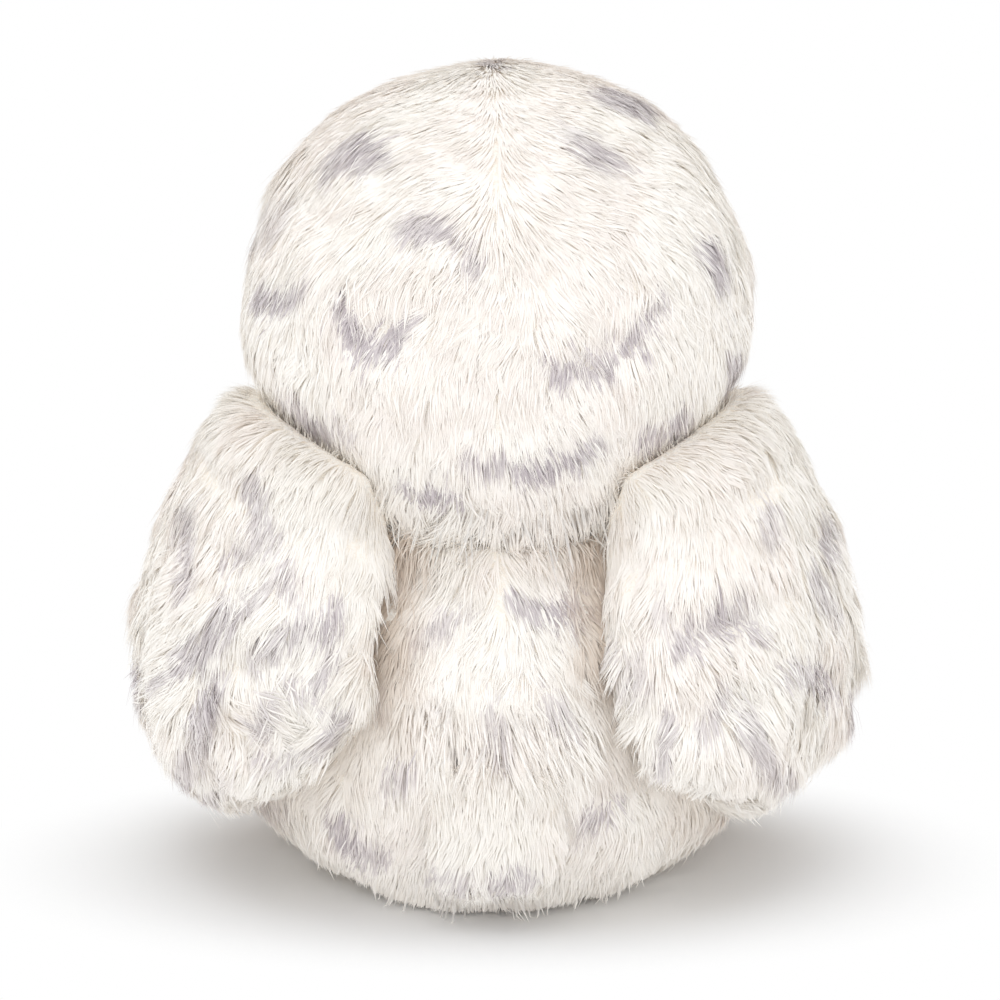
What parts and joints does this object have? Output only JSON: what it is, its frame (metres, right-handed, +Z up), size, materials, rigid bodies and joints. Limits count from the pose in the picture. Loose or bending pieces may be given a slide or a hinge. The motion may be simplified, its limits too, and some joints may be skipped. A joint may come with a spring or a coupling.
{
  "type": "plush owl",
  "caption": "Seated long-pile plush owl in white with grey-mauve flecks, with soft hanging wings, a turning head, a small tail flap and a flat weighted base.",
  "frame": {"origin": "on the floor, under the middle of the owl's outer box", "axes": "+Z up, the face looks along -Y, the owl's own left wing lies on +X"},
  "size_m": [0.184, 0.1666, 0.204],
  "materials": {
    "long_fur": "matte",
    "belly_fur": "matte",
    "face_fur": "matte",
    "foot_plush": "matte",
    "lining": "matte",
    "sole_cloth": "matte",
    "fibre_fill": "matte",
    "pellet_cloth": "matte",
    "eye": "gloss",
    "washer": "matte",
    "beak": "satin"
  },
  "bodies": {
    "body": {"body_back_left": "long_fur", "body_back_right": "long_fur", "body_belly": "belly_fur", "base_panel": "sole_cloth", "body_stuffing": "fibre_fill", "pellet_bag": "pellet_cloth", "foot_left": "foot_plush", "foot_right": "foot_plush"},
    "head": {"head_left": "long_fur", "head_right": "long_fur", "face_disc": "face_fur", "head_stuffing": "fibre_fill", "beak": "beak", "eye_left": "eye", "eye_right": "eye", "eye_washer_left": "washer", "eye_washer_right": "washer"},
    "wing_left": {"wing_left_outer": "long_fur", "wing_left_lining": "lining", "wing_left_wadding": "fibre_fill"},
    "wing_right": {"wing_right_outer": "long_fur", "wing_right_lining": "lining", "wing_right_wadding": "fibre_fill"},
    "tail": {"tail_outer": "long_fur", "tail_lining": "lining", "tail_wadding": "fibre_fill"}
  },
  "joints": [
    {"name": "head_turn", "type": "hinge", "parent": "body", "child": "head", "pos_m": [0, -0.00217, 0.1], "axis": [0, 0, 1], "range_deg": [-30, 30], "stiffness_Nm_per_rad": 0.05},
    {"name": "wing_left_lift", "type": "hinge", "parent": "body", "child": "wing_left", "pos_m": [0.05695, 0.01969, 0.122], "axis": [0.3584, -0.9336, 0], "range_deg": [0, 60]},
    {"name": "wing_right_lift", "type": "hinge", "parent": "body", "child": "wing_right", "pos_m": [-0.05695, 0.01969, 0.122], "axis": [0.3584, 0.9336, 0], "range_deg": [0, 60]},
    {"name": "tail_lift", "type": "hinge", "parent": "body", "child": "tail", "pos_m": [0, 0.06983, 0.0475], "axis": [1, 0, 0], "range_deg": [0, 45]}
  ]
}
